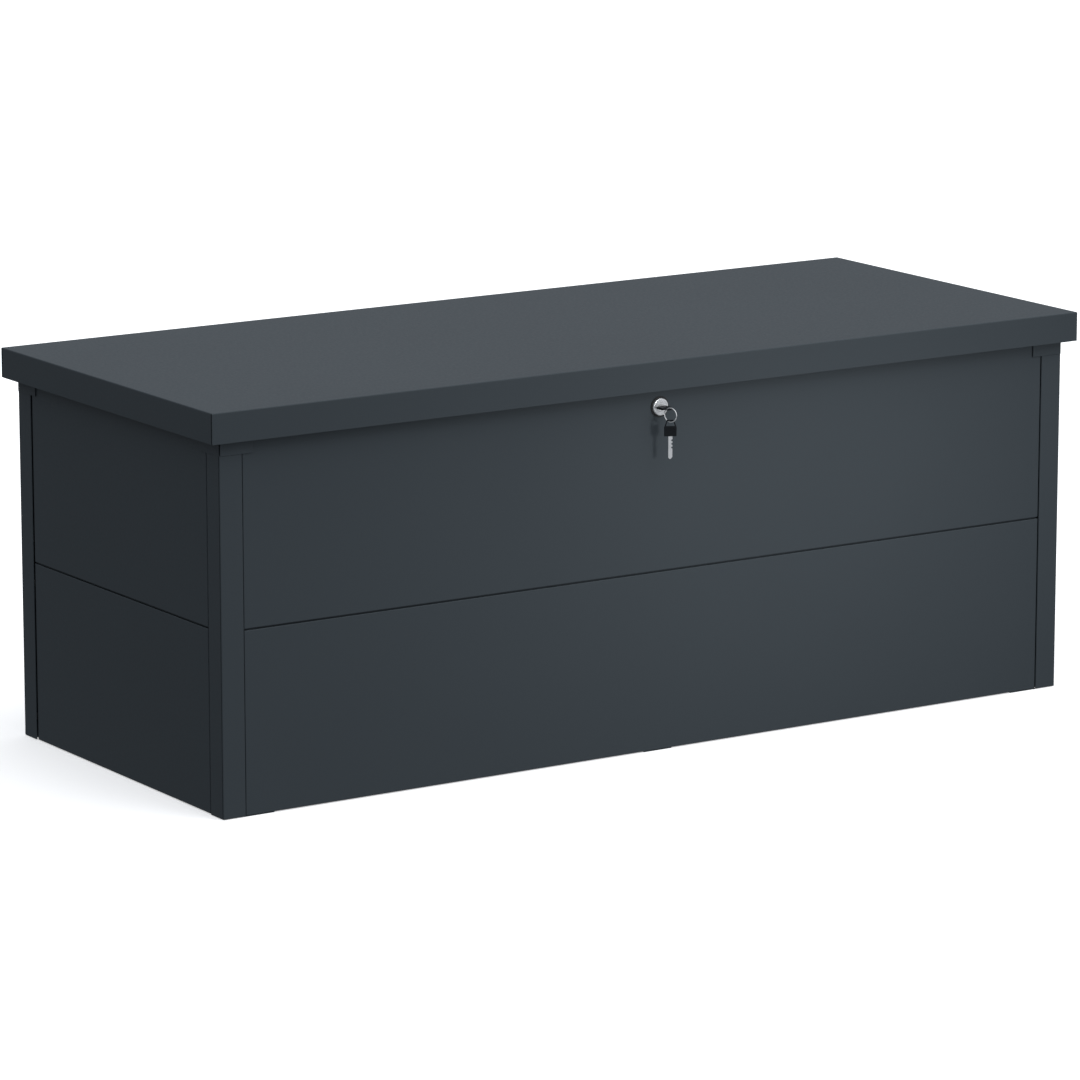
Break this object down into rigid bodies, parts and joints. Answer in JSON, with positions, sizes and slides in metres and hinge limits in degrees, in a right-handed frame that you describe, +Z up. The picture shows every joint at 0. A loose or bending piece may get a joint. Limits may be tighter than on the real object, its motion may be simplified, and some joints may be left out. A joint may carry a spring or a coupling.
{
  "type": "deck storage box",
  "caption": "Free-standing sheet-steel deck box: folded wall panels between corner posts, hinged lift-up lid on gas struts, cam lock with keys on a ring.",
  "frame": {"origin": "middle of the body's footprint on the ground, under the centre floor runner", "axes": "+X along the long side, +Y to the back where the hinges are, +Z up; the lock is on the -Y side"},
  "size_m": [1.5, 0.6376, 0.58],
  "materials": {
    "powder_coat": "satin anthracite powder coat, fine orange peel",
    "floor_coat": "satin anthracite powder coat",
    "hinge_coat": "satin powder coat",
    "chrome": "polished",
    "gasket": "matte",
    "key_plastic": "fine moulded texture",
    "key_steel": "nickel plated, brushed",
    "zinc": "zinc plated",
    "strut_black": "gloss black",
    "strut_steel": "ground",
    "bumper_rubber": "matte"
  },
  "bodies": {
    "box_body": {"back_lower_panel": "powder_coat", "back_seam_strip": "powder_coat", "back_upper_panel": "powder_coat", "corner_cap_back_left": "powder_coat", "corner_cap_back_right": "powder_coat", "corner_cap_front_left": "powder_coat", "corner_cap_front_right": "powder_coat", "corner_post_back_left": "powder_coat", "corner_post_back_right": "powder_coat", "corner_post_front_left": "powder_coat", "corner_post_front_right": "powder_coat", "floor_panel_left": "floor_coat", "floor_panel_right": "floor_coat", "floor_runner_centre": "floor_coat", "floor_runner_left": "floor_coat", "floor_runner_right": "floor_coat", "front_lower_panel": "powder_coat", "front_seam_strip": "powder_coat", "front_upper_panel": "powder_coat", "hinge_body_leaf_centre": "hinge_coat", "hinge_body_leaf_left": "hinge_coat", "hinge_body_leaf_right": "hinge_coat", "hinge_pins": "zinc", "left_lower_panel": "powder_coat", "left_seam_strip": "powder_coat", "left_upper_panel": "powder_coat", "lock_gasket": "gasket", "lock_housing": "chrome", "lock_nut": "zinc", "panel_screws": "zinc", "right_lower_panel": "powder_coat", "right_seam_strip": "powder_coat", "right_upper_panel": "powder_coat", "rim_bumpers": "bumper_rubber", "strut_body_bracket_left": "zinc", "strut_body_bracket_right": "zinc", "weld_nuts": "zinc"},
    "lid": {"hinge_lid_leaf_centre": "hinge_coat", "hinge_lid_leaf_left": "hinge_coat", "hinge_lid_leaf_right": "hinge_coat", "lid_pan": "powder_coat", "lid_rib_centre": "powder_coat", "lid_rib_left": "powder_coat", "lid_rib_right": "powder_coat", "lid_screws": "zinc", "lid_strike": "powder_coat", "strut_lid_bracket_left": "zinc", "strut_lid_bracket_right": "zinc"},
    "strut_cylinder_left": {"strut_cylinder_left": "strut_black"},
    "strut_cylinder_right": {"strut_cylinder_right": "strut_black"},
    "strut_rod_left": {"strut_rod_left": "strut_steel"},
    "strut_rod_right": {"strut_rod_right": "strut_steel"},
    "lock_barrel": {"lock_plug": "chrome", "cam_lever": "zinc", "cam_screw": "zinc"},
    "key": {"key_blade": "key_steel", "key_bow": "key_plastic"},
    "key_ring": {"key_ring": "key_steel"},
    "spare_key": {"spare_key_blade": "key_steel", "spare_key_bow": "key_plastic"}
  },
  "joints": [
    {"name": "lid_hinge", "type": "hinge", "parent": "box_body", "child": "lid", "pos_m": [0, 0.2988, 0.532], "axis": [-1, 0, 0], "range_deg": [0, 75]},
    {"name": "strut_left_foot", "type": "hinge", "parent": "box_body", "child": "strut_cylinder_left", "pos_m": [-0.688, 0.22594, 0.33398], "axis": [-1, 0, 0], "range_deg": [0, 37.5]},
    {"name": "strut_left_head", "type": "hinge", "parent": "lid", "child": "strut_rod_left", "pos_m": [-0.688, 0.0898, 0.561], "axis": [-1, 0, 0], "range_deg": [-37.5, 0]},
    {"name": "strut_right_foot", "type": "hinge", "parent": "box_body", "child": "strut_cylinder_right", "pos_m": [0.688, 0.22594, 0.33398], "axis": [-1, 0, 0], "range_deg": [0, 37.5]},
    {"name": "strut_right_head", "type": "hinge", "parent": "lid", "child": "strut_rod_right", "pos_m": [0.688, 0.0898, 0.561], "axis": [-1, 0, 0], "range_deg": [-37.5, 0]},
    {"name": "lock_turn", "type": "hinge", "parent": "box_body", "child": "lock_barrel", "pos_m": [0, -0.2918, 0.51], "axis": [0, 1, 0], "range_deg": [0, 90]},
    {"name": "key_pull", "type": "slide", "parent": "lock_barrel", "child": "key", "axis": [0, -1, 0], "range_m": [0, 0.032]},
    {"name": "ring_swing", "type": "hinge", "parent": "key", "child": "key_ring", "pos_m": [0, -0.3198, 0.51], "axis": [-0.9397, -0.342, 0], "range_deg": [0, 30]},
    {"name": "spare_key_swing", "type": "hinge", "parent": "key_ring", "child": "spare_key", "pos_m": [0, -0.3198, 0.49175], "axis": [0.342, -0.9397, 0], "range_deg": [-15, 15]}
  ],
  "couplings": [
    {"joint": "strut_left_foot", "follows": "lid_hinge", "ratio": 0.5},
    {"joint": "strut_left_head", "follows": "lid_hinge", "ratio": -0.5},
    {"joint": "strut_right_foot", "follows": "lid_hinge", "ratio": 0.5},
    {"joint": "strut_right_head", "follows": "lid_hinge", "ratio": -0.5}
  ]
}
